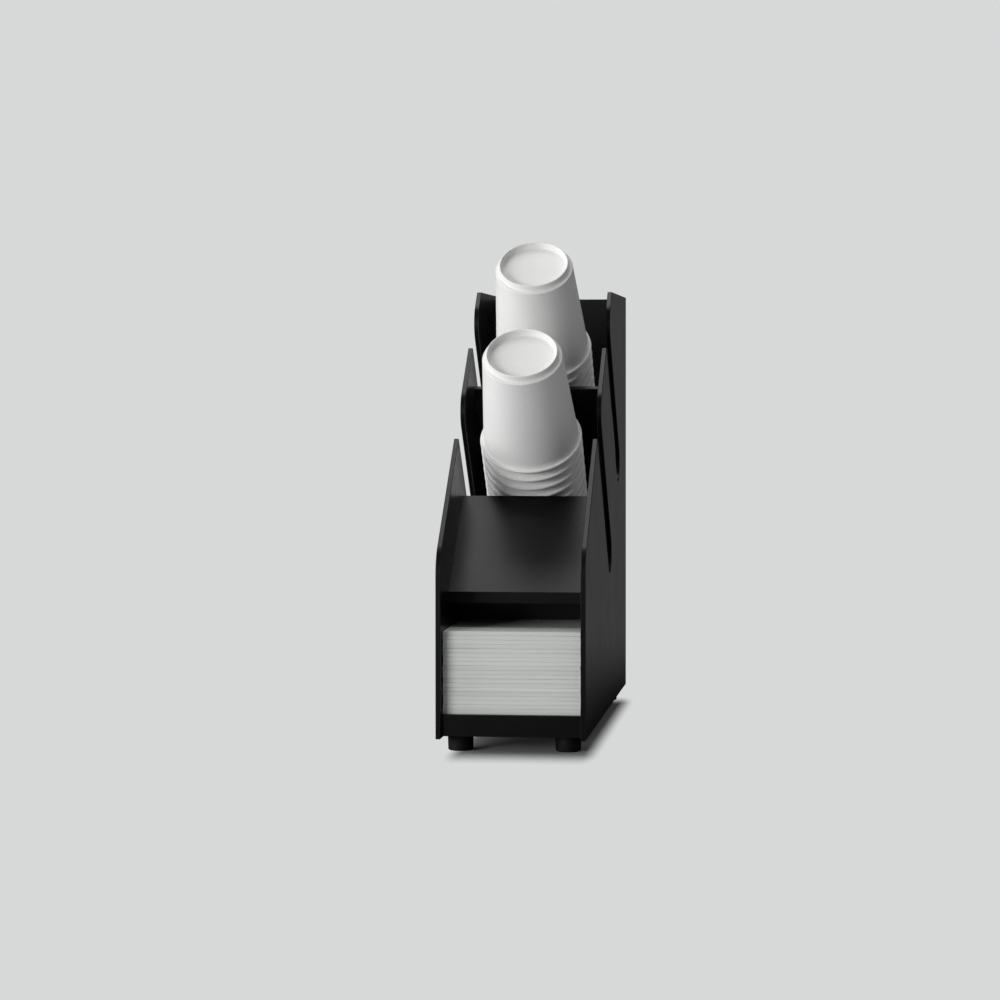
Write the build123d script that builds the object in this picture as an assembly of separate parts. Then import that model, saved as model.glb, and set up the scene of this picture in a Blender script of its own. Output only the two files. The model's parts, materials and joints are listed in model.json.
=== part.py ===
# Countertop organiser for paper cups and folded napkins.
# A narrow cabinet of flat black sheet holds napkins at the front, under a sloping cover, and two
# tilted bays behind it. A stack of inverted paper cups leans in each bay and stands on a stop plate.
#
# Millimetres, +Z up, +X right, the front faces -Y. The origin is on the floor, in the middle of the
# footprint. Heights in the sizes below are above the lower edge of the side panels, and depths are
# behind their front edge, unless a comment says otherwise.
#
# The tilted parts are set out along two axes in the side view: "along" runs up and forward on the
# cups' axis, and "across" runs up and back, square to it. Both start at the front lower corner of
# the side panels.

import os
from math import cos, radians, sin

from build123d import *

# Sheet
SHEET = 4.0  # thickness of every plate
EDGE_BREAK = 0.4  # chamfer on the edges that a hand meets

# Paper cup, standing on its rim
CUP_RIM_DIAMETER = 86.4
CUP_BASE_DIAMETER = 65.2
CUP_HEIGHT = 97.5
CUP_WALL = 0.5
CUP_BEAD_RADIUS = 1.6  # rolled rim
CUP_BEAD_SIDES = 8
CUP_DISC = 0.6  # paper disc that closes the base
CUP_RECESS = 6.0  # of the disc below the base ring
CUP_RING_DIAMETER = 59.2  # outside of the ring at the very end, where it is folded over
CUP_RING = 1.2  # thickness of the folded ring, three layers
CUP_SHOULDER = 5.6  # from the ring's end to the ridge where the wall starts
CUP_CRIMP = 0.3  # depth of the groove under the ridge
CUP_RING_BEVEL = 0.4
CUP_DISH_RISE = 1.8  # of the disc's edge, where it turns up into the ring
CUP_DISH_RUN = 3.6
NEST_GAP = 0.31  # between the walls of nested cups
CUPS_PER_STACK = 16

# Tilted bays
TILT = 42.5  # of the cover from level, and of the cups' axis from upright
SIDE_ROOM = 12.8  # between a cup's rim and each side panel
BAY_ROOM = 22.9  # between a cup's rim and the plate over it
REST_GAP = 0.3  # between a cup's rim and the plates that carry it
DIVIDER_RISE = 21.0  # of the divider's upper edge over the cover's face
STOP_DEPTH = 125.2  # from the cover's face down to the stop plates
REAR_ROOM = 27.8  # level room between the lowest rear cup and the rear panel

# Napkins
NAPKIN_DEPTH = 110.0
NAPKIN_THICK = 3.25
NAPKIN_PITCH = 3.45
NAPKIN_COUNT = 23
NAPKIN_SIDE_ROOM = 0.5
NAPKIN_GAP = 0.5  # in front of and behind the stack
NAPKIN_HEADROOM = 19.4  # from the top napkin to the lip of the cover
NAPKIN_FOLD_RADIUS = 1.2

# Cabinet
BASE_RAISE = 2.0  # of the base plate's underside
KICK_SETBACK = 4.0
KICK_RISE = 13.4  # over the base plate
LIP_SETBACK = 44.7
LIP_HEIGHT = 9.4
COVER_LENGTH = 110.4  # up the slope, to the front bay's floor
PANEL_RISE = 52.0  # of the side panels' slanted edge over the cover's face
PANEL_CORNER_RADIUS = 30.0  # where the upright front edge meets the slanted one
TOP_LAND = 39.2  # of slanted edge between the rear slot and the flat top
REAR_PANEL_DROP = 1.6  # of the rear panel's top below the side panels'

# Slots in the side panels
SLOT_WIDTH = 35.0
SLOT_SETOFF = 14.7  # from the face that the cups lean on to the slot
SLOT_RISE = 4.7  # of the slot's end over the stop plate
SLOT_MOUTH_RADIUS = 22.0  # of the upper corner at the slot's mouth

# Feet
FOOT_DIAMETER = 21.0
FOOT_SHOW = 11.5  # height of the cabinet's lower edge over the floor
FOOT_TAPER = 0.5  # the radius is this much less at the floor
FOOT_FILLET = 1.2
FOOT_INSET_X = 12.5  # from a side panel's inner face to a foot's axis
FOOT_INSET_Y = 26.5  # from the front and rear edges to a foot's axis
INSERT_DIAMETER = 7.0
INSERT_LENGTH = 9.0
SCREW_DIAMETER = 4.0
SCREW_HEAD_DIAMETER = 8.0
SCREW_REACH = 7.0  # of the screw into the insert
SCREW_SINK = 0.2  # of the screw's head below the base plate's face
SCREW_SOCKET = 2.5  # across the flats of the hexagon socket
FIT = 0.05  # round a screw in its hole and an insert in its foot

# Worked out from the sizes above
INNER_WIDTH = CUP_RIM_DIAMETER + 2 * SIDE_ROOM
RIM_RADIUS = CUP_RIM_DIAMETER / 2
BASE_RADIUS = CUP_BASE_DIAMETER / 2
CUP_TAPER = (RIM_RADIUS - 2 * CUP_BEAD_RADIUS + CUP_WALL - BASE_RADIUS) / CUP_HEIGHT
NEST_PITCH = (CUP_WALL + NEST_GAP) / CUP_TAPER
BASE_TOP = BASE_RAISE + SHEET
STACK_TOP = BASE_TOP + NAPKIN_COUNT * NAPKIN_PITCH
LIP_TOP = STACK_TOP + NAPKIN_HEADROOM + LIP_HEIGHT
KICK_BACK = KICK_SETBACK + SHEET
NAPKIN_FRONT = KICK_BACK + NAPKIN_GAP
BACKSTOP_FRONT = NAPKIN_FRONT + NAPKIN_DEPTH + NAPKIN_GAP

C, S = cos(radians(TILT)), sin(radians(TILT))


def across_of(depth, height):
    """Distance of a point from the lower front corner, up and back."""
    return depth * C + height * S


def along_of(depth, height):
    """Distance of a point from the lower front corner, up and forward."""
    return height * C - depth * S


def side_point(across, along):
    """(depth, height) of a point given on the tilted axes."""
    return (across * C - along * S, across * S + along * C)


COVER_FACE = along_of(LIP_SETBACK, LIP_TOP)
COVER_START = across_of(LIP_SETBACK, LIP_TOP)
PANEL_LINE = COVER_FACE + PANEL_RISE
STOP_FACE = COVER_FACE - STOP_DEPTH
BAY_PITCH = CUP_RIM_DIAMETER + BAY_ROOM + SHEET
FRONT_FLOOR = COVER_START + COVER_LENGTH
BAY_FLOORS = [FRONT_FLOOR, FRONT_FLOOR + BAY_PITCH]
SLOT_END = STOP_FACE + SLOT_RISE
TOP_CORNER = BAY_FLOORS[-1] + SLOT_SETOFF + SLOT_WIDTH + TOP_LAND
PANEL_TOP = side_point(TOP_CORNER, PANEL_LINE)[1]
LOWEST_RIM = side_point(BAY_FLOORS[-1] + REST_GAP + CUP_RIM_DIAMETER, STOP_FACE)
REAR_FACE = LOWEST_RIM[0] + REAR_ROOM
DEPTH = REAR_FACE + SHEET


def place(depth, height):
    """A side-view point on the YZ plane of the whole object."""
    return (depth - DEPTH / 2, height + FOOT_SHOW)


def outline(points):
    """A closed face in the side view from (depth, height) points."""
    return Plane.YZ * make_face(Polyline(*[place(*p) for p in points], close=True))


def tilted_outline(points):
    """A closed face in the side view from (across, along) points."""
    return outline([side_point(*p) for p in points])


def between_panels(face):
    """A plate that spans the cabinet's inner width."""
    return extrude(face, amount=INNER_WIDTH / 2, both=True)


def break_edges(solid, *points):
    """Chamfers the edges along X that pass through the given (depth, height) points."""
    for point in points:
        y, z = place(*point)
        edge = solid.edges().filter_by(Axis.X).sort_by_distance((0, y, z))[0]
        solid = chamfer(edge, EDGE_BREAK)
    return solid


def upright(front, low, high):
    """An upright plate across the cabinet."""
    back = front + SHEET
    return between_panels(outline([(front, low), (back, low), (back, high), (front, high)]))


def slot_face(floor):
    """The outline of one slot, from its round end out past the panel's slanted edge."""
    radius = SLOT_WIDTH / 2
    start = floor + SLOT_SETOFF
    middle, centre = start + radius, SLOT_END + radius
    past = PANEL_LINE + SLOT_WIDTH
    straight = tilted_outline(
        [(start, centre), (start + SLOT_WIDTH, centre), (start + SLOT_WIDTH, past), (start, past)]
    )
    y, z = place(*side_point(middle, centre))
    return straight + Plane.YZ * Pos(y, z) * Circle(radius)


def round_corner(face, point, radius):
    """Rounds the corner of a side-view face that lies nearest to a (depth, height) point."""
    y, z = place(*point)
    corner = face.vertices().sort_by_distance((0, y, z))[0]
    return fillet(corner, radius)


def side_panel(side):
    """A slotted side panel: side is -1 for the left one and 1 for the right one."""
    front_corner = (0, PANEL_LINE / C)
    top_corner = side_point(TOP_CORNER, PANEL_LINE)
    face = outline([(0, 0), (DEPTH, 0), (DEPTH, PANEL_TOP), top_corner, front_corner])
    for floor in BAY_FLOORS:
        face -= slot_face(floor)
    face = round_corner(face, front_corner, PANEL_CORNER_RADIUS)
    for floor in BAY_FLOORS:
        mouth = side_point(floor + SLOT_SETOFF + SLOT_WIDTH, PANEL_LINE)
        face = round_corner(face, mouth, SLOT_MOUTH_RADIUS)
    panel = extrude(Pos(side * (INNER_WIDTH + SHEET) / 2, 0, 0) * face, amount=SHEET / 2, both=True)
    sides = panel.faces().sort_by(Axis.X)
    return chamfer(sides[0].edges() + sides[-1].edges(), EDGE_BREAK)


def cover_plate():
    """The sloping plate over the napkins, cut upright at its lower end to meet the lip."""
    inner = COVER_FACE - SHEET
    low_inner = across_of(LIP_SETBACK, (inner + LIP_SETBACK * S) / C)
    plate = tilted_outline(
        [(COVER_START, COVER_FACE), (FRONT_FLOOR, COVER_FACE), (FRONT_FLOOR, inner), (low_inner, inner)]
    )
    return break_edges(between_panels(plate), side_point(FRONT_FLOOR, COVER_FACE))


def cover_lip():
    """The short upright plate under the cover's lower end, its top cut to the cover's slope."""
    back = LIP_SETBACK + SHEET
    low = LIP_TOP - LIP_HEIGHT
    inner = COVER_FACE - SHEET
    tops = [(depth, (inner + depth * S) / C) for depth in (back, LIP_SETBACK)]
    return break_edges(between_panels(outline([(LIP_SETBACK, low), (back, low), *tops])), (LIP_SETBACK, low))


def bay_plate(floor, top):
    """A plate that cups lean on, from its upper edge down past the stop plates."""
    low = STOP_FACE - SHEET
    return between_panels(
        tilted_outline([(floor - SHEET, low), (floor, low), (floor, top), (floor - SHEET, top)])
    )


def bay_divider():
    """The plate between the bays, with its upper edge eased."""
    top = COVER_FACE + DIVIDER_RISE
    plate = bay_plate(BAY_FLOORS[1], top)
    return break_edges(plate, side_point(BAY_FLOORS[1], top), side_point(BAY_FLOORS[1] - SHEET, top))


def front_bay_stop():
    """The plate that the front stack stands on, between the bay's floor and the divider."""
    low, end = STOP_FACE - SHEET, BAY_FLOORS[1] - SHEET
    return between_panels(
        tilted_outline([(BAY_FLOORS[0], low), (end, low), (end, STOP_FACE), (BAY_FLOORS[0], STOP_FACE)])
    )


def rear_bay_stop():
    """The plate that the rear stack stands on, cut upright where it meets the rear panel."""
    start = side_point(BAY_FLOORS[1], STOP_FACE)
    low_start = side_point(BAY_FLOORS[1], STOP_FACE - SHEET)
    ends = [(REAR_FACE, (along + REAR_FACE * S) / C) for along in (STOP_FACE - SHEET, STOP_FACE)]
    return between_panels(outline([start, low_start, *ends]))


def base_plate(feet):
    """The floor of the napkin compartment, with a countersunk hole over each foot."""
    points = [(KICK_SETBACK, BASE_RAISE), (REAR_FACE, BASE_RAISE)]
    points += [(REAR_FACE, BASE_TOP), (KICK_SETBACK, BASE_TOP)]
    plate = between_panels(outline(points))
    for x, y in feet:
        plate -= Pos(x, y, FOOT_SHOW + BASE_TOP) * screw_shape(FIT)
    return plate


def napkin_backstop():
    """The plate behind the napkins, up to the underside of the cover or the bay's floor."""
    back = BACKSTOP_FRONT + SHEET
    lower_face = FRONT_FLOOR - SHEET
    under_floor = (lower_face - back * C) / S
    under_cover = (COVER_FACE - SHEET + BACKSTOP_FRONT * S) / C
    return upright(BACKSTOP_FRONT, BASE_TOP, min(under_floor, under_cover))


def screw_shape(gap):
    """A countersunk screw, hanging down from the plate's upper face, grown by a gap for its hole."""
    head, shank = SCREW_HEAD_DIAMETER / 2 + gap, SCREW_DIAMETER / 2 + gap
    top = 0.0 if gap else -SCREW_SINK
    shoulder = -SCREW_SINK - (head - shank)
    end = -SHEET - SCREW_REACH - gap
    points = [(0, top), (head, top), (head, -SCREW_SINK), (shank, shoulder), (shank, end), (0, end)]
    if not gap:
        points.pop(1)
    return revolve(Plane.XZ * make_face(Polyline(*points, close=True)), Axis.Z)


def foot_screw():
    """One screw with its hexagon socket."""
    flats = RegularPolygon(SCREW_SOCKET / 2, 6, major_radius=False)
    socket = extrude(Pos(0, 0, -SCREW_SINK) * flats, amount=-SCREW_SOCKET * 0.6)
    return screw_shape(0) - socket


def foot():
    """A rubber foot, hanging from the base plate's underside, with the bore for its insert."""
    top, low = BASE_RAISE, -FOOT_SHOW
    radius = FOOT_DIAMETER / 2
    profile = [(0, top), (radius, top), (radius - FOOT_TAPER, low), (0, low)]
    body = revolve(Plane.XZ * make_face(Polyline(*profile, close=True)), Axis.Z)
    body = fillet(body.faces().sort_by(Axis.Z)[0].edges(), FOOT_FILLET)
    bore_depth = INSERT_LENGTH + FIT
    bore = Cylinder(INSERT_DIAMETER / 2 + FIT, bore_depth, align=(Align.CENTER, Align.CENTER, Align.MAX))
    return Pos(0, 0, FOOT_SHOW) * (body - Pos(0, 0, top) * bore)


def foot_insert():
    """A threaded insert, drawn with a plain bore, flush with the top of its foot."""
    align = (Align.CENTER, Align.CENTER, Align.MAX)
    sleeve = Cylinder(INSERT_DIAMETER / 2, INSERT_LENGTH, align=align)
    sleeve -= Cylinder(SCREW_DIAMETER / 2 + FIT, INSERT_LENGTH, align=align)
    return Pos(0, 0, FOOT_SHOW + BASE_RAISE) * sleeve


def cup_wall(height):
    """Outer radius of a cup's plain wall at a height over its rim."""
    return BASE_RADIUS + CUP_TAPER * (CUP_HEIGHT - height)


def cup():
    """One paper cup, standing on its rim on the XY plane, with its base up."""
    disc = CUP_HEIGHT - CUP_RECESS
    under = disc - CUP_DISC
    shoulder = CUP_HEIGHT - CUP_SHOULDER
    groove = cup_wall(shoulder) - CUP_CRIMP
    ring = CUP_RING_DIAMETER / 2
    inner = ring - CUP_RING
    bead = RIM_RADIUS - CUP_BEAD_RADIUS
    outside = [(cup_wall(CUP_BEAD_RADIUS), CUP_BEAD_RADIUS), (cup_wall(shoulder), shoulder)]
    outside += [(groove, shoulder + CUP_CRIMP)]
    outside += [(ring, CUP_HEIGHT - CUP_RING_BEVEL), (ring - CUP_RING_BEVEL, CUP_HEIGHT)]
    inside = [(inner, CUP_HEIGHT), (inner, disc + CUP_DISH_RISE), (inner - CUP_DISH_RUN, disc)]
    inside += [(0, disc), (0, under)]
    inside += [(cup_wall(under) - CUP_WALL, under), (cup_wall(CUP_BEAD_RADIUS) - CUP_WALL, CUP_BEAD_RADIUS)]
    shell = make_face(Polyline(*outside, *inside, close=True))
    rim = RegularPolygon(CUP_BEAD_RADIUS, CUP_BEAD_SIDES, major_radius=False, rotation=180 / CUP_BEAD_SIDES)
    return revolve(Plane.XZ * (shell + Pos(bead, CUP_BEAD_RADIUS) * rim), Axis.Z)


def stack(floor, name):
    """The nested cups of one bay as (node name, solid), from the top cup down."""
    shape = cup()
    for number in range(1, CUPS_PER_STACK + 1):
        along = STOP_FACE + REST_GAP + (CUPS_PER_STACK - number) * NEST_PITCH
        y, z = place(*side_point(floor + REST_GAP + RIM_RADIUS, along))
        yield f"{name}_cup_{number:02d}", Pos(0, y, z) * Rot(X=TILT) * shape


def napkin(number):
    """One folded napkin, numbered from the bottom, with its front fold rounded."""
    low = BASE_TOP + number * NAPKIN_PITCH + NAPKIN_PITCH - NAPKIN_THICK
    high, back = low + NAPKIN_THICK, NAPKIN_FRONT + NAPKIN_DEPTH
    face = outline([(NAPKIN_FRONT, low), (back, low), (back, high), (NAPKIN_FRONT, high)])
    solid = extrude(face, amount=INNER_WIDTH / 2 - NAPKIN_SIDE_ROOM, both=True)
    front = solid.edges().filter_by(Axis.X).sort_by(Axis.Y)[:2]
    return fillet(front, NAPKIN_FOLD_RADIUS)


def foot_places():
    """{position name: (x, y)} of the four feet."""
    x = INNER_WIDTH / 2 - FOOT_INSET_X
    y = DEPTH / 2 - FOOT_INSET_Y
    return {
        "front_left": (-x, -y),
        "front_right": (x, -y),
        "rear_left": (-x, y),
        "rear_right": (x, y),
    }


def all_nodes():
    """Every piece as {node name: solid or list of solids}."""
    feet = foot_places()
    nodes = {
        "side_panel_left": side_panel(-1),
        "side_panel_right": side_panel(1),
        "base_plate": base_plate(feet.values()),
        "kick_plate": break_edges(
            upright(KICK_SETBACK, BASE_TOP, BASE_TOP + KICK_RISE), (KICK_SETBACK, BASE_TOP + KICK_RISE)
        ),
        "cover_plate": cover_plate(),
        "cover_lip": cover_lip(),
        "front_bay_floor": bay_plate(FRONT_FLOOR, COVER_FACE - SHEET),
        "bay_divider": bay_divider(),
        "front_bay_stop": front_bay_stop(),
        "rear_bay_stop": rear_bay_stop(),
        "rear_panel": break_edges(
            upright(REAR_FACE, BASE_RAISE, PANEL_TOP - REAR_PANEL_DROP),
            (REAR_FACE, PANEL_TOP - REAR_PANEL_DROP),
            (DEPTH, PANEL_TOP - REAR_PANEL_DROP),
        ),
        "napkin_backstop": napkin_backstop(),
        "foot_screws": [Pos(x, y, FOOT_SHOW + BASE_TOP) * foot_screw() for x, y in feet.values()],
        "foot_inserts": [Pos(x, y, 0) * foot_insert() for x, y in feet.values()],
        "napkin_stack": [napkin(number) for number in range(NAPKIN_COUNT - 1)],
        "top_napkin": napkin(NAPKIN_COUNT - 1),
    }
    for where, (x, y) in feet.items():
        nodes[f"foot_{where}"] = Pos(x, y, 0) * foot()
    for floor, name in zip(BAY_FLOORS, ("front", "rear")):
        nodes.update(stack(floor, name))
    return nodes


os.makedirs("parts", exist_ok=True)
for node, shape in all_nodes().items():
    if isinstance(shape, list):
        shape = Compound(children=[piece.solid() for piece in shape])
    export_step(shape, f"parts/{node}.step")

print(f"inner width {INNER_WIDTH:.2f}, depth {DEPTH:.2f}, panel top {PANEL_TOP + FOOT_SHOW:.2f}")
print(f"cover face {COVER_FACE:.2f}, panel line {PANEL_LINE:.2f}, stop face {STOP_FACE:.2f}")
print("bay floors", [round(floor, 2) for floor in BAY_FLOORS], "lip top", round(LIP_TOP, 2))
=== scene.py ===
# %% [markdown]
# # A cup and napkin dispenser for a drinks counter
# The frame comes from the CAD: every plate, foot, screw and cup is already in its place, in metres. This
# lesson keeps the flat plates as they are and gives them their finish. It replaces the paper goods, because
# rolled rims, seams and folds are easier to shape as meshes than as solids. Their places are worked out
# from the frame's own boxes, so no piece has to be fitted by eye.

# %% Load the frame
import json
import math
import random

import bpy
from mathutils import Matrix, Vector


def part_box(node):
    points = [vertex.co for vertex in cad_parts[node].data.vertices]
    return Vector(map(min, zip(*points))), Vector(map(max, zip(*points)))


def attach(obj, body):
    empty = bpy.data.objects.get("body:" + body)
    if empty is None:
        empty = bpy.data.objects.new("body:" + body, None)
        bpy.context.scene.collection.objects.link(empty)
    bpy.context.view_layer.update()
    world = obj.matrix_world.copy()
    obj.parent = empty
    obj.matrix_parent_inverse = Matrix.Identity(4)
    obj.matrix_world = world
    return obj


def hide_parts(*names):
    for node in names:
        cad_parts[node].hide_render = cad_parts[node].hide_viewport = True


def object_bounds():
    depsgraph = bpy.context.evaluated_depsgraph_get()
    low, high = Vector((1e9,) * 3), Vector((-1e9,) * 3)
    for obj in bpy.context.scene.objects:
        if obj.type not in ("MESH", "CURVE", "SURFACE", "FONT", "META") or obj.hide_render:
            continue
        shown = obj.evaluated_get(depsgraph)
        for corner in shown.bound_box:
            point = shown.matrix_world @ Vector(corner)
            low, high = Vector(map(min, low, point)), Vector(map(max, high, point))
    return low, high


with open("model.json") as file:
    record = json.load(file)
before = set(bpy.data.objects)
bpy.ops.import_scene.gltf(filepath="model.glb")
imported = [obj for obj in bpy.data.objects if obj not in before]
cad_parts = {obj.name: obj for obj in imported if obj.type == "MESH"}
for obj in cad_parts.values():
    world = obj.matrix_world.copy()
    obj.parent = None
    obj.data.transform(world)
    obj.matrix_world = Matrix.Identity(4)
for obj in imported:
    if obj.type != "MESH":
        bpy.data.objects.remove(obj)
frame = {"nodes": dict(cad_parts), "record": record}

cad_low, cad_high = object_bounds()
print("CAD box:", [round(v, 4) for v in (*cad_low, *cad_high)])

# %% [markdown]
# Real sizes of small things are easiest to think of in millimetres, so one constant turns them into the
# metres that Blender counts in. The camera, the paper pieces, the floor and the lamps are all put into the
# scene in the same way, and the meshes of cups and napkins are smoothed alike, so each job has a function.

# %% Units, objects and meshes
MM = 0.001


def add_object(name, data):
    """A new object in the scene."""
    made = bpy.data.objects.new(name, data)
    bpy.context.scene.collection.objects.link(made)
    return made


def smooth_mesh(name, points, faces, sharp):
    """A smooth mesh whose edges of more than sharp degrees stay sharp."""
    mesh = bpy.data.meshes.new(name)
    mesh.from_pydata(points, [], faces)
    mesh.shade_smooth()
    mesh.set_sharp_from_angle(angle=math.radians(sharp))
    return mesh


print("the object is", round((cad_high.z - cad_low.z) / MM), "mm high")

# %% [markdown]
# ## The camera
# The picture looks along the dispenser from the front, a little from its right and above its middle, through
# a long lens, as for a catalogue. The camera is turned most of the way to the object. To turn it all the way
# would set the front askew, so a small shift of the frame does the rest, as with a view camera.

# %% Camera
CAMERA_PLACE = (0.2576, -2.216, 0.2941)
CAMERA_PITCH = -0.8028  # degrees from level
CAMERA_YAW = 5.2805  # degrees to the left
CAMERA_LENS = 92.601  # millimetres
CAMERA_SENSOR = 36  # millimetres across
CAMERA_SHIFT = (-0.0992, -0.08)  # in widths of the picture

camera_data = bpy.data.cameras.new("camera")
camera_data.sensor_width = CAMERA_SENSOR
camera_data.lens = CAMERA_LENS
camera_data.shift_x, camera_data.shift_y = CAMERA_SHIFT
camera = add_object("camera", camera_data)
camera.location = CAMERA_PLACE
camera.rotation_euler = (math.radians(90 + CAMERA_PITCH), 0, math.radians(CAMERA_YAW))
bpy.context.scene.camera = camera
print("camera:", CAMERA_LENS, "mm lens,", round(Vector(CAMERA_PLACE).length, 2), "m from the origin")

# %% [markdown]
# ## Helpers for the finishes
# A colour is written as the hex value that a paint or paper chart gives. Blender wants linear light, so one
# function converts it. A second one adds a node with its settings and links. A third starts a material, and
# a fourth ends it in one shader. With these, a finish reads from top to bottom like a recipe.

# %% Colour, node and material helpers
def linear(colour):
    """The linear RGBA of an sRGB hex colour such as "#D7D9D8", by the two parts of the sRGB curve."""
    values = [int(colour[i : i + 2], 16) / 255 for i in (1, 3, 5)]
    return [v / 12.92 if v <= 0.04045 else ((v + 0.055) / 1.055) ** 2.4 for v in values] + [1.0]


def add_node(tree, kind, settings=None, inputs=None):
    """Adds a node. settings are its own properties, and each of the inputs is a value or a socket to link."""
    node = tree.nodes.new(kind)
    for name, value in (settings or {}).items():
        setattr(node, name, value)
    for key, value in (inputs or {}).items():
        if isinstance(value, bpy.types.NodeSocket):
            tree.links.new(value, node.inputs[key])
        else:
            node.inputs[key].default_value = value
    return node


def start_material(name):
    """An empty material, as (material, node tree, the socket with the mesh's own coordinates)."""
    material = bpy.data.materials.new(name)
    material.use_nodes = True
    tree = material.node_tree
    tree.nodes.clear()
    return material, tree, add_node(tree, "ShaderNodeTexCoord").outputs["Object"]


def close_material(tree, inputs):
    """Ends a material in one Principled shader with these inputs."""
    shader = add_node(tree, "ShaderNodeBsdfPrincipled", inputs=inputs)
    add_node(tree, "ShaderNodeOutputMaterial", inputs={"Surface": shader.outputs["BSDF"]})


print("mid grey #808080 is", round(linear("#808080")[0], 3), "in linear light")

# %% [markdown]
# Patterns repeat by a size that can be measured with a ruler. Blender's noise takes a scale, the number of
# waves in a metre, so a helper turns a grain size in millimetres into it and returns the noise as a socket.
# Others stretch the pattern, map it onto the range that a finish needs, blend two colours by it or raise a
# bump from it. The noise keeps mostly between 0.3 and 0.7, so that is the range that is mapped.

# %% Pattern helpers
def grain(tree, place, size_mm, detail=2.0, roughness=0.5):
    """Noise whose waves are size_mm long, as a socket from 0 to 1."""
    inputs = {"Vector": place, "Scale": 1 / (size_mm * MM), "Detail": detail, "Roughness": roughness}
    return add_node(tree, "ShaderNodeTexNoise", inputs=inputs).outputs["Fac"]


def stretch(tree, place, scale):
    """Coordinates scaled along each axis. A scale under 1 draws a pattern out that way."""
    return add_node(tree, "ShaderNodeMapping", inputs={"Vector": place, "Scale": scale}).outputs[0]


def spread(tree, value, low, high, start=0.3, end=0.7):
    """Maps a value from start..end onto low..high."""
    inputs = {0: value, 1: start, 2: end, 3: low, 4: high}
    return add_node(tree, "ShaderNodeMapRange", inputs=inputs).outputs[0]


def blend(tree, share, first, second):
    """A colour between two hex colours. The node's sockets 6, 7 and 2 are the ones for colours."""
    inputs = {0: share, 6: linear(first), 7: linear(second)}
    return add_node(tree, "ShaderNodeMix", {"data_type": "RGBA"}, inputs).outputs[2]


def bump(tree, height, depth_mm):
    """A bump whose full height is depth_mm."""
    inputs = {"Height": height, "Distance": depth_mm * MM, "Strength": 1.0}
    return add_node(tree, "ShaderNodeBump", inputs=inputs).outputs["Normal"]


def compute(tree, operation, *values):
    """The result of one Math node, as a socket."""
    return add_node(tree, "ShaderNodeMath", {"operation": operation}, dict(enumerate(values))).outputs[0]


print("a 0.8 mm grain has", round(1 / (0.8 * MM)), "waves in a metre")

# %% [markdown]
# ## Black satin acrylic sheet
# The cabinet is cut from 4 mm acrylic (PMMA) sheet, black all through, with a satin face that was cast
# against a fine etched plate. It has an IOR of 1.49. The etched face scatters light, so there are no sharp
# reflections, only a soft sheen, and part of the light is lost in the etching, so the specular level is
# under its usual 0.5. Seen nearly edge-on, the sheet still mirrors as any gloss surface does, which is why
# the long side looks paler than the front. The real texture is about 0.1 mm across, too fine for this
# picture, so it is drawn 0.6 mm across. Larger clouds of slightly different roughness are what wiping and
# handling leave. The broken edges wear a little paler: their faces are the only ones that look neither
# straight along the X axis nor square to it, and the surface's own direction finds them.

# %% Black sheet material
SHEET_GRAIN_MM = 0.6
SHEET_CLOUD_MM = 38.0
EDGE_SIDEWAYS = (0.3, 0.95)  # how far a broken edge looks along X, where 1 is straight along it
SHEET_NODES = [
    "side_panel_left", "side_panel_right", "base_plate", "kick_plate", "cover_plate", "cover_lip",
    "front_bay_floor", "bay_divider", "front_bay_stop", "rear_bay_stop", "rear_panel", "napkin_backstop",
]


def satin_acrylic():
    """Satin black acrylic sheet."""
    material, tree, place = start_material("satin_black_acrylic")
    fine = grain(tree, place, SHEET_GRAIN_MM, detail=3)
    cloud = grain(tree, place, SHEET_CLOUD_MM, detail=4, roughness=0.6)
    facing = add_node(tree, "ShaderNodeNewGeometry").outputs["True Normal"]
    sideways = add_node(tree, "ShaderNodeSeparateXYZ", inputs={0: facing}).outputs["X"]
    sideways = compute(tree, "ABSOLUTE", sideways)
    over = compute(tree, "GREATER_THAN", sideways, EDGE_SIDEWAYS[0])
    under = compute(tree, "LESS_THAN", sideways, EDGE_SIDEWAYS[1])
    worn = compute(tree, "MULTIPLY", compute(tree, "MULTIPLY", over, under), cloud)
    close_material(tree, {
        "Base Color": blend(tree, worn, "#0A0A0B", "#262627"),
        "Roughness": spread(tree, cloud, 0.27, 0.31),
        "IOR": 1.49,
        "Specular IOR Level": 0.27,
        "Normal": bump(tree, fine, depth_mm=0.006),
    })
    return material


def finish_nodes(names, material):
    """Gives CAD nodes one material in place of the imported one."""
    for name in names:
        mesh = frame["nodes"][name].data
        mesh.materials.clear()
        mesh.materials.append(material)


finish_nodes(SHEET_NODES, satin_acrylic())
print("sheet plates:", len(SHEET_NODES))

# %% [markdown]
# ## Rubber, steel and brass
# The feet are moulded nitrile rubber: nearly black, with a dull skin and faint dusty patches. The screws are
# stainless steel and the threaded inserts are turned brass. Turning leaves rings 0.3 to 0.4 mm apart, which
# draw a highlight out into a streak. Metals take their look from their colour and roughness, so they keep
# the default IOR.

# %% Foot, screw and insert materials
FEET = ["foot_front_left", "foot_front_right", "foot_rear_left", "foot_rear_right"]
RING_STRETCH = (0.15, 0.15, 1.0)  # draws the noise out into rings round a vertical axis


def moulded_rubber():
    """Black moulded rubber with a dull skin."""
    material, tree, place = start_material("moulded_nitrile_rubber")
    skin = grain(tree, place, size_mm=0.9, detail=3)
    bloom = grain(tree, place, size_mm=6.0, detail=4)
    close_material(tree, {
        "Base Color": blend(tree, spread(tree, bloom, 0.0, 0.6), "#040404", "#0C0C0B"),
        "Roughness": spread(tree, bloom, 0.62, 0.8),
        "IOR": 1.52,
        "Specular IOR Level": 0.2,
        "Normal": bump(tree, skin, depth_mm=0.05),
    })
    return material


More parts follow.
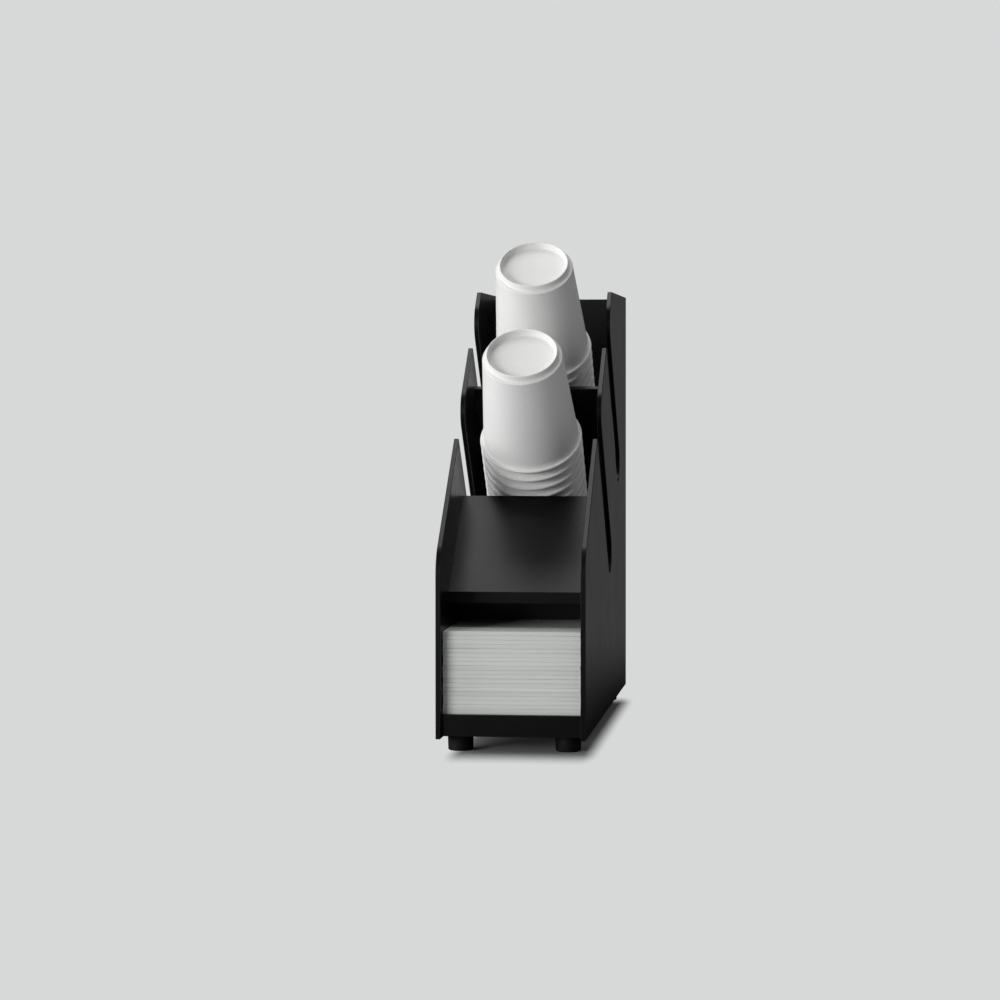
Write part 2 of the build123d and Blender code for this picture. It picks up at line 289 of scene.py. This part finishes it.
def turned_metal(name, colour, dull, ring_mm):
    """A metal with the fine rings that turning leaves."""
    material, tree, place = start_material(name)
    rings = grain(tree, stretch(tree, place, RING_STRETCH), ring_mm, detail=2)
    close_material(tree, {
        "Base Color": blend(tree, rings, dull, colour),
        "Metallic": 1.0,
        "Roughness": spread(tree, rings, 0.26, 0.4),
        "Normal": bump(tree, rings, depth_mm=0.01),
    })
    return material


finish_nodes(FEET, moulded_rubber())
finish_nodes(["foot_screws"], turned_metal("stainless_steel", "#C9C8C4", "#A9A8A4", ring_mm=0.4))
finish_nodes(["foot_inserts"], turned_metal("turned_brass", "#D9B568", "#B8924A", ring_mm=0.3))
print("feet:", len(FEET), "and their screws and inserts")

# %% [markdown]
# ## Coated paperboard
# The cups are bleached board with a thin polyethylene film: white, a little shiny, and mottled where the
# fibres lie. Board fibres are about 0.03 mm wide and flock together in clumps of a millimetre or two, and
# the clumps are what the eye sees. The film's IOR is 1.5.

# %% Cup material
def coated_board():
    """White coated paperboard."""
    material, tree, place = start_material("coated_paperboard")
    clumps = grain(tree, place, size_mm=1.6, detail=4, roughness=0.6)
    waves = grain(tree, place, size_mm=14.0, detail=2)
    close_material(tree, {
        "Base Color": blend(tree, spread(tree, clumps, 0.0, 1.0), "#E6E6E5", "#EEEEED"),
        "Roughness": spread(tree, waves, 0.42, 0.52),
        "IOR": 1.5,
        "Specular IOR Level": 0.4,
        "Normal": bump(tree, clumps, depth_mm=0.03),
    })
    return material


board = coated_board()
print("cup material:", board.name)

# %% [markdown]
# ## The shape of a cup
# A paper cup is a cone of board. Its rim is rolled outward into a bead, and at the other end the wall is
# folded in round the skirt of a flat disc, which leaves a ring with the disc sunk inside it. Rolling that
# ring draws in the wall below it, and a low ridge is left where the plain wall starts. That is a shape
# for a lathe: one section turned round an axis. A Screw modifier could turn it, but the seam and the
# crimped ring need the radius to change on the way round, so a short loop places the points itself.
# The section is written as it would be drawn, in millimetres from the axis and above the rim, on which the
# cup stands upside down.

# %% Cup section
RIM_RADIUS, BASE_RADIUS, CUP_HEIGHT = 43.2, 32.6, 97.5  # outer radii at both ends of the wall
WALL, BEAD = 0.5, 1.3  # thickness of the board and radius of the rolled bead
CAD_BEAD = 1.6  # the CAD has a stouter bead with eight flat sides
TAPER = (RIM_RADIUS - 2 * CAD_BEAD + WALL - BASE_RADIUS) / CUP_HEIGHT  # of the radius, towards the rim
RING_RADIUS, RING, RECESS = 29.6, 1.2, 6.0  # outer radius, thickness and depth of the ring
DISC, DISC_CORNER, DISH = 0.6, 3.4, 0.25  # thickness, radius at the ring and hollow of the disc
SHOULDER = 5.6  # from the top of the ring down to where the ridge starts
BAND = ((0.1, 3.6), (0.4, 2.2))  # points of the drawn-in band, out from the ring and above the shoulder
FLARE, FLARE_CENTRE = 2.2, (2.6, 2.3)  # radius and centre of the curve from there out to the ridge
RIDGE, RIDGE_INSET, RIDGE_END = 0.75, 0.62, 1.6  # radius, depth of its centre in the wall, and its end below
OUTER_HEIGHTS = (70.0, 46.0, 24.0, 7.0, 3.4)  # points down the plain wall
INNER_HEIGHTS = (2.6, 24.0, 46.0, 70.0)  # points back up inside it


def wall_radius(height):
    """Outer radius of the plain wall."""
    return BASE_RADIUS + TAPER * (CUP_HEIGHT - height)


def arc(centre, radius, first, last, steps):
    """Points on an arc between two angles in degrees, where 0 is outward and 90 is up."""
    turns = [math.radians(first + (last - first) * i / steps) for i in range(steps + 1)]
    return [(centre[0] + radius * math.cos(t), centre[1] + radius * math.sin(t)) for t in turns]


def cup_section():
    """The closed section, from the axis over the disc, ring and outside to the bead, and up the inside."""
    disc, shoulder = CUP_HEIGHT - RECESS, CUP_HEIGHT - SHOULDER
    inner, crest = RING_RADIUS - RING, RING / 2
    flare = (RING_RADIUS + FLARE_CENTRE[0], shoulder + FLARE_CENTRE[1])
    return [
        *[(r * inner, disc - DISH * (1 - r * r)) for r in (0.0, 0.25, 0.5, 0.7)],
        *arc((inner - DISC_CORNER, disc + DISC_CORNER), DISC_CORNER, 285, 360, 6),
        *arc((RING_RADIUS - crest, CUP_HEIGHT - crest), crest, 180, 10, 8),
        *[(RING_RADIUS + out, shoulder + up) for out, up in BAND],
        *arc(flare, FLARE, 190, 255, 5),
        *arc((wall_radius(shoulder) - RIDGE_INSET, shoulder - RIDGE), RIDGE, 75, 5, 4),
        (wall_radius(shoulder - RIDGE_END), shoulder - RIDGE_END),
        *[(wall_radius(h), h) for h in OUTER_HEIGHTS],
        *arc((RIM_RADIUS - BEAD, BEAD), BEAD, 125, -180, 18),
        *[(wall_radius(h) - WALL, h) for h in (*INNER_HEIGHTS, disc - DISC)],
        (0.0, disc - DISC),
    ]


section = cup_section()
print("cup section:", len(section), "points,", round(max(r for r, h in section) * 2, 1), "mm across the rim")

# %% [markdown]
# The board overlaps itself in a side seam about 6 mm wide, pressed until it stands only 0.2 mm proud. On the
# inner side of the ring the crimping wheel leaves a row of shallow flutes. Both are offsets of the radius,
# as a function of where a point is.

# %% Seam and flutes
SEAM_WIDTH, SEAM_RISE, SEAM_RAMP = 6.0, 0.2, 0.25  # the ramp is the slope at each edge
FLUTES, FLUTE_DEPTH = 72, 0.16
FLUTE_START = 2.0  # above the disc
ON_WALL = (-0.05, 0.2)  # how far inside and outside the plain wall a point may be to take the seam


def off_seam(angle):
    """The angle between a direction and the seam's middle, the shorter way round."""
    return abs((angle + math.pi) % math.tau - math.pi)


def seam_rise(angle):
    """How far the seam stands out at an angle from its middle."""
    return SEAM_RISE * min(1.0, max(0.0, (SEAM_WIDTH / 2 - off_seam(angle) * RIM_RADIUS) / SEAM_RAMP))


def shaped_radius(radius, height, angle, fluted):
    """The radius that a point of the section has at an angle, with the seam and the flutes."""
    disc = CUP_HEIGHT - RECESS
    if height < disc and ON_WALL[0] < radius - wall_radius(height) < ON_WALL[1]:
        return radius + seam_rise(angle)
    if fluted and height > disc + FLUTE_START and radius < RING_RADIUS - RING / 2:
        return radius + FLUTE_DEPTH * (math.cos(FLUTES * angle) - 1) / 2
    return radius


print("seam:", SEAM_WIDTH, "mm wide and", seam_rise(0.0), "mm proud;", FLUTES, "flutes in the ring")

# %% [markdown]
# The section is turned round the axis in steps, with extra ones at the edges of the seam so that they stay
# crisp. The two top cups show their ring, so they get the flutes and a fine division. The ring of each
# other cup is hidden in the cup above it.

# %% Turn the section
TOP_STEPS, NESTED_STEPS = 288, 72
CUP_SHARP = 50  # degrees


def cup_angles(steps, fluted):
    """The angles to place points at, in radians. The flutes need all of the even ones."""
    edge, ramp = SEAM_WIDTH / 2 / RIM_RADIUS, SEAM_RAMP / RIM_RADIUS
    even = [math.tau * i / steps for i in range(steps)]
    near = [a for a in even if off_seam(a) > edge + ramp or fluted]
    return sorted(near + [a % math.tau for a in (-edge, ramp - edge, edge - ramp, edge)])


def cup_mesh(name, steps, fluted):
    """A cup on its rim, in metres, with its axis on Z and its seam towards +X."""
    angles = cup_angles(steps, fluted)
    points, faces, rings = [], [], []
    for radius, height in section:
        turns = angles if radius else [0.0]  # a point on the axis stands for its whole ring
        rings.append([len(points) + i % len(turns) for i in range(len(angles))])
        for angle in turns:
            r = shaped_radius(radius, height, angle, fluted)
            points.append((r * math.cos(angle) * MM, r * math.sin(angle) * MM, height * MM))
    for low, high in zip(rings, rings[1:]):
        for i in range(len(angles)):
            j = (i + 1) % len(angles)
            corners = dict.fromkeys((low[i], high[i], high[j], low[j]))  # three on the axis
            faces.append(tuple(corners))
    mesh = smooth_mesh(name, points, faces, CUP_SHARP)
    mesh.materials.append(board)
    return mesh


top_cup_mesh = cup_mesh("top_cup", TOP_STEPS, True)
nested_cup_mesh = cup_mesh("nested_cup", NESTED_STEPS, False)
print("top cup:", len(top_cup_mesh.polygons), "faces; nested cup:", len(nested_cup_mesh.polygons), "faces")

# %% [markdown]
# ## Two leaning stacks
# Each cup stands where its CAD node is. The node's box says where: its lowest point is on the bead's front
# edge and its furthest back point on the bead's back edge, and with the tilt those two give the middle of
# the rim. Cups come out of their sleeve turned at random, so each seam points another way. The random
# numbers come from one seeded generator, and the picture is the same each time.

# %% Place the cups
TILT = math.radians(42.5)
TOP_SEAM = {"front_cup_01": 50, "rear_cup_01": 115}  # degrees, on the side that the picture doesn't show
chance = random.Random(7)


def rim_centre(node):
    """The middle of a cup's rim, from the box of its CAD node."""
    low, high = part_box(node)
    reach = (RIM_RADIUS - CAD_BEAD) * MM
    bead = CAD_BEAD * MM
    z = low.z + bead + reach * math.sin(TILT) - bead * math.cos(TILT)
    y = high.y - bead - reach * math.cos(TILT) + bead * math.sin(TILT)
    return Vector((0, y, z))


def add_cup(node, body, mesh, turn):
    """One cup in place of its CAD node. Every cup has a mesh of its own, turned about its axis."""
    data = mesh.copy()
    lean = Matrix.Rotation(TILT, 4, "X")
    data.transform(Matrix.Translation(rim_centre(node)) @ lean @ Matrix.Rotation(turn, 4, "Z"))
    piece = add_object("paper_" + node, data)
    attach(piece, body)
    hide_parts(node)


cups = 0
for body in ("front_stack", "front_top_cup", "rear_stack", "rear_top_cup"):
    for node in frame["record"]["behaviour"]["bodies"][body]:
        shape = top_cup_mesh if node in TOP_SEAM else nested_cup_mesh
        turn = math.radians(TOP_SEAM.get(node, chance.uniform(0, 360)))
        add_cup(node, body, shape, turn)
        cups += 1
print("cups:", cups, "at a tilt of", round(math.degrees(TILT), 1), "degrees")

# %% [markdown]
# ## Napkin tissue
# The napkins are two-ply creped tissue, off-white with a faint grey-green cast from recycled pulp. Tissue is
# mostly air, so it is very rough and has hardly any gloss. The crepe wrinkles run along the roll, under a
# millimetre apart. Sheets from different parts of the roll are not equally white, so level bands from
# half a millimetre to 4 mm high make the pile a little lighter or darker.

# %% Napkin material
CREPE_STRETCH = (0.25, 1.0, 1.0)
BAND_STRETCH = (0.03, 0.03, 1.0)


def creped_tissue():
    """Folded tissue paper."""
    material, tree, place = start_material("creped_tissue")
    crepe = grain(tree, stretch(tree, place, CREPE_STRETCH), size_mm=0.9, detail=3)
    bands = grain(tree, stretch(tree, place, BAND_STRETCH), size_mm=4.0, detail=3)
    close_material(tree, {
        "Base Color": blend(tree, spread(tree, bands, 0.0, 1.0), "#CDD0CC", "#DBDDDA"),
        "Roughness": 0.95,
        "IOR": 1.47,
        "Specular IOR Level": 0.15,
        "Normal": bump(tree, crepe, depth_mm=0.12),
    })
    return material


tissue = creped_tissue()
print("napkin material:", tissue.name)

# %% [markdown]
# ## Folded napkins
# From the side, a folded napkin is one U of tissue lying in another, with both folds at the front. That
# section is easy to write as two loops. A Solidify modifier on a bent plane would do nearly the same, but
# the loops keep the exact thickness, so the pile fills the height that it has in the CAD.

# %% Napkin section
INNER_INSET, INNER_SHORT = 0.9, 0.6  # of the inner U behind the outer one's front, and before its back
PLY_GAP = 0.12  # between two layers
FOLD_STEPS = 10
FOLD_DEPTH = 0.35  # from the front of a fold back to where its layers are straight
FOLD_BLUNTNESS = 0.4  # 1 is round, and less is squarer
RUN_SHARES = (0.0, 0.3, 0.7)  # where a straight layer has points, from the back to the fold


def fold_line(front, middle, half, depth):
    """The blunt curve of a fold from its top to its bottom, as (y, z) points."""
    line = []
    for i in range(FOLD_STEPS + 1):
        turn = math.pi * i / FOLD_STEPS
        rise, reach = math.cos(turn), math.sin(turn)
        line.append((
            front + depth * (1 - reach ** FOLD_BLUNTNESS),
            middle + half * math.copysign(abs(rise) ** FOLD_BLUNTNESS, rise),
        ))
    return line


def fold_loop(front, back, low, high, ply):
    """One U of tissue of thickness ply in the side view, its fold at front, as (y, z) points."""
    middle, half = (low + high) / 2, (high - low) / 2
    outer = fold_line(front, middle, half, FOLD_DEPTH)
    inner = fold_line(front + ply, middle, half - ply, FOLD_DEPTH)
    runs = [back + (front + FOLD_DEPTH + ply - back) * t for t in RUN_SHARES]
    top = [(y, high) for y in runs]
    bottom = [(y, low) for y in reversed(runs)]
    inner_bottom = [(y, middle - half + ply) for y in runs]
    inner_top = [(y, middle + half - ply) for y in reversed(runs)]
    return top + outer + bottom + inner_bottom + inner[::-1] + inner_top


def napkin_loops(depth, thick):
    """The two nested loops of one napkin, from its front at 0 to its back at depth."""
    ply = (thick - 3 * PLY_GAP) / 4
    step = ply + PLY_GAP
    return [
        fold_loop(0.0, depth, 0.0, thick, ply),
        fold_loop(INNER_INSET, depth - INNER_SHORT, step, thick - step, ply),
    ]


print("napkin section:", [len(loop) for loop in napkin_loops(depth=110.0, thick=2.5)], "points in its loops")

# %% [markdown]
# How many napkins the pile takes is worked out from its height and the thickness of the loose napkin on
# top. Each napkin takes up a little more height than that, as tissue doesn't lie tight.

# %% Count the napkins
LOOSE_FIT = 1.06

pile_low, pile_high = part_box("napkin_stack")
top_low, top_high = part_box("top_napkin")
pile_height = top_low.z - pile_low.z
pile = round(pile_height / ((top_high.z - top_low.z) * LOOSE_FIT))
pitch = pile_height / pile
print("napkins:", pile + 1, "with a pitch of", round(pitch / MM, 2), "mm")

# %% [markdown]
# The section is drawn out over the napkin's width in steps. At each step it shifts by a fraction of a
# millimetre, as no hand-folded edge is straight. Each napkin is also shifted and bowed a little on its own,
# less than the clearance round the pile, so that the front of the pile looks stacked and not ruled. The
# shifts are in millimetres, drawn by chance up to the sizes given here.

# %% Place the napkins
NAPKIN_STEPS = 28
NAPKIN_SHARP = 40  # degrees
NAPKIN_GAP = 0.05  # between two napkins
SHIFT, BOW, LIFT = 0.25, 0.2, 0.04  # forward or back, a bent front, and a wavy top
SIDE, SIDE_INSET = 0.2, 0.3  # the shift to a side, and the room left for it
WAVES, RIPPLE = 3.1, 0.4  # radians from the middle to a side, and the waves' share in the bow


def end_faces(start, count, turned):
    """Closes one end of a U-shaped loop with a strip of quads between its outer and inner line."""
    faces = []
    for i in range(count // 2 - 1):
        near = (start + i, start + i + 1, start + count - 2 - i, start + count - 1 - i)
        faces.append(tuple(reversed(near)) if turned else near)
    return faces


def add_napkin(name, low, high, body, nodes):
    """One folded napkin between two corners of the frame, in metres."""
    size = (high - low) / MM
    middle = (low + high) / 2
    shift, slant = chance.uniform(-SHIFT, SHIFT), chance.uniform(-SHIFT, SHIFT)
    bow, phase = chance.uniform(-BOW, BOW), chance.uniform(0, math.tau)
    side = chance.uniform(-SIDE, SIDE)
    points, faces = [], []
    for loop in napkin_loops(size.y - 2 * SHIFT, size.z):
        start, count = len(points), len(loop)
        for i in range(NAPKIN_STEPS + 1):
            t = 2 * i / NAPKIN_STEPS - 1
            wave = math.sin(phase + WAVES * t)
            for y, z in loop:
                x = t * (size.x / 2 - SIDE_INSET) + side
                y += SHIFT + (shift + slant * t + bow * (t * t + RIPPLE * wave)) / 2
                z += LIFT * wave * (z / size.z) / 2
                points.append((middle.x + x * MM, low.y + y * MM, low.z + z * MM))
        for i in range(NAPKIN_STEPS):
            for j in range(count):
                a, b = start + i * count + j, start + i * count + (j + 1) % count
                faces.append((a, a + count, b + count, b))
        faces += end_faces(start, count, False)
        faces += end_faces(start + NAPKIN_STEPS * count, count, True)
    mesh = smooth_mesh(name, points, faces, NAPKIN_SHARP)
    mesh.materials.append(tissue)
    piece = add_object(name, mesh)
    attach(piece, body)
    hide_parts(*nodes)


for number in range(pile):
    low = Vector((pile_low.x, pile_low.y, pile_low.z + number * pitch))
    high = Vector((pile_high.x, pile_high.y, low.z + pitch - NAPKIN_GAP * MM))
    add_napkin(f"napkin_{number + 1:02d}", low, high, "napkin_pile", ["napkin_stack"])
add_napkin("napkin_loose", top_low, top_high, "loose_napkin", ["top_napkin"])
print("napkins placed:", pile, "in the pile and one on top")

# %% [markdown]
# ## Floor and surroundings
# The floor is a large pale disc under the feet. Its rings of faces are small near the object and large
# further out.

# %% Floor mesh
FLOOR_RINGS = (0.4, 0.8, 2.0, 6.0)  # radii in metres
FLOOR_STEPS = 96


def disc_mesh(name, radii, steps):
    """A flat disc of rings of faces round a middle point."""
    points, faces = [(0, 0, 0)], []
    turns = [math.tau * i / steps for i in range(steps)]
    for radius in radii:
        points += [(radius * math.cos(t), radius * math.sin(t), 0) for t in turns]
    for i in range(steps):
        j = (i + 1) % steps
        faces.append((0, 1 + i, 1 + j))
        for ring in range(len(radii) - 1):
            a = 1 + ring * steps
            faces.append((a + i, a + steps + i, a + steps + j, a + j))
    mesh = bpy.data.meshes.new(name)
    mesh.from_pydata(points, [], faces)
    return mesh


floor = add_object("floor", disc_mesh("floor", FLOOR_RINGS, FLOOR_STEPS))
floor.location.z = cad_low.z
print("floor:", FLOOR_RINGS[-1] * 2, "m across")

# %% [markdown]
# Close to the object the floor is a matt surface, so it takes the soft shadow. Its grey is a little darker
# than the backdrop's: painted shade that deepens the contact shadow. Further out it blends into an even glow,
# as a photographer's sweep does when it is lit from below. The camera sees this glow in the backdrop's pale
# grey. The object's own reflections see it in the dim grey of the room, which keeps the black sheet dark. In
# reflections the matt area is also much wider and nearly black: painted shade that the side panel mirrors
# as a dark floor beside it.

# %% Floor material
BACKDROP, ROOM = "#D7D9D8", "#666666"
# painted shade: the matt grey is darker than the backdrop, and nearly black where reflections see it
SHADE, MIRRORED_SHADE = "#B7B9B8", "#1C1C1C"
SHADE_MIDDLE = Vector((0.0095, -0.0285, 0.0))  # of the matt area, in metres from the object's middle
SHADE_INSET = Vector((0.0115, 0.0315, 0.0))  # of the matt area's edge from the object's outline
SHADE_WIDTH = (0.014, 0.06, 1.0)  # metres that the matt area takes to blend out
# the nearly black painted shade that reflections see reaches this much further out
MIRRORED_WIDTH = 14.0  # times as wide in reflections


def compute_vector(tree, operation, *values):
    """The result of one Vector Math node, as a socket."""
    node = add_node(tree, "ShaderNodeVectorMath", {"operation": operation}, dict(enumerate(values)))
    return node.outputs["Value" if operation == "LENGTH" else "Vector"]


def surroundings(tree):
    """The backdrop's colour for the camera, and the room's for light and reflections."""
    ray = add_node(tree, "ShaderNodeLightPath")
    return blend(tree, ray.outputs["Is Camera Ray"], ROOM, BACKDROP)


def off_footprint(tree, place, mirrored):
    """0 under the object, rising to 1 over the width of the blend outside its footprint."""
    size = (cad_high - cad_low) / 2 - SHADE_INSET
    off = compute_vector(tree, "ABSOLUTE", compute_vector(tree, "SUBTRACT", place, SHADE_MIDDLE))
    past = compute_vector(tree, "MAXIMUM", compute_vector(tree, "SUBTRACT", off, size), (0, 0, 0))
    length = compute_vector(tree, "LENGTH", compute_vector(tree, "DIVIDE", past, SHADE_WIDTH))
    end = compute(tree, "MULTIPLY_ADD", mirrored, MIRRORED_WIDTH - 1, 1.0)
    smooth = {"interpolation_type": "SMOOTHSTEP"}
    inputs = {"Value": length, "From Min": 0.0, "From Max": end}
    return add_node(tree, "ShaderNodeMapRange", smooth, inputs).outputs[0]


def backdrop_sweep():
    """Matt grey under the object, painted darker as shade, and an even glow round it for the camera and for
    reflections.
    """
    material, tree, place = start_material("backdrop_sweep")
    ray = add_node(tree, "ShaderNodeLightPath")
    mirrored = ray.outputs["Is Glossy Ray"]
    seen = compute(tree, "MAXIMUM", ray.outputs["Is Camera Ray"], mirrored)
    share = compute(tree, "MULTIPLY", off_footprint(tree, place, mirrored), seen)
    # painted shade: a darker grey for the camera and for light, nearly black in reflections
    shade = blend(tree, mirrored, SHADE, MIRRORED_SHADE)
    matt = add_node(tree, "ShaderNodeBsdfDiffuse", inputs={"Color": shade})
    glow = add_node(tree, "ShaderNodeEmission", inputs={"Color": surroundings(tree), "Strength": 1.0})
    mix = add_node(tree, "ShaderNodeMixShader", inputs={0: share, 1: matt.outputs[0], 2: glow.outputs[0]})
    add_node(tree, "ShaderNodeOutputMaterial", inputs={"Surface": mix.outputs[0]})
    return material


floor.data.materials.append(backdrop_sweep())
print("floor material:", floor.data.materials[0].name)

# %% [markdown]
# The world continues the floor's glow above the horizon, with the same two colours, so no horizon shows.

# %% World
def set_world():
    """The same surroundings above the floor."""
    world = bpy.data.worlds.new("studio")
    world.use_nodes = True
    tree = world.node_tree
    tree.nodes.clear()
    light = add_node(tree, "ShaderNodeBackground", inputs={"Color": surroundings(tree), "Strength": 1.0})
    add_node(tree, "ShaderNodeOutputWorld", inputs={"Surface": light.outputs[0]})
    bpy.context.scene.world = world


set_world()
print("room light:", round(linear(ROOM)[0], 3), "of the backdrop's", round(linear(BACKDROP)[0], 3))

# %% [markdown]
# ## Studio light
# Four soft lamps make the light. The key softbox stands low in front, to the left, and reaches under the
# cover to the napkins. The side softbox further round lights the left flanks of the cups and leaves their
# right sides in soft shade. The panel overhead lights the cups' discs, and the sloping cover mirrors it
# towards the camera, which sets the cover off from the darker upright plates. A weak fill on the right
# keeps the shaded sides readable. A larger lamp makes softer shadows, so each is a metre wide or more. The
# two main ones stand 3.4 m off, because a cup that is pulled towards a near lamp would burn out to white.
# The lamps light and are mirrored, but the camera doesn't see them, from whichever side it looks.

# %% Lamps
middle = (cad_low + cad_high) / 2


def around(azimuth, elevation, distance):
    """A place round the object, in degrees and metres: azimuth 0 is in front, and it grows to the right."""
    a, e = math.radians(azimuth), math.radians(elevation)
    out = Vector((math.sin(a) * math.cos(e), -math.cos(a) * math.cos(e), math.sin(e)))
    return middle + out * distance


def add_softbox(name, place, size, strength):
    """A rectangular lamp turned to the object, with its power in watts for each square metre."""
    data = bpy.data.lights.new(name, "AREA")
    data.shape = "RECTANGLE"
    data.size, data.size_y = size
    data.energy = strength * size[0] * size[1]
    lamp = add_object(name, data)
    lamp.location = place
    lamp.rotation_euler = (middle - Vector(place)).to_track_quat("-Z", "Y").to_euler()
    lamp.visible_camera = False


add_softbox("key_softbox", around(-38, 5.3, 3.4), size=(1.87, 1.0), strength=36.3)
add_softbox("side_softbox", around(-80, 14, 3.4), size=(1.7, 1.7), strength=17.4)
add_softbox("overhead_panel", (0.0, 0.15, 2.1), size=(1.05, 1.05), strength=10.6)
add_softbox("fill_panel", around(70, 15, 2.0), size=(1.2, 1.3), strength=1.4)

# %% [markdown]
# The Standard view transform shows each colour as it was written.

# %% View settings
view_settings = bpy.context.scene.view_settings
view_settings.view_transform = "Standard"
print("view transform:", view_settings.view_transform)
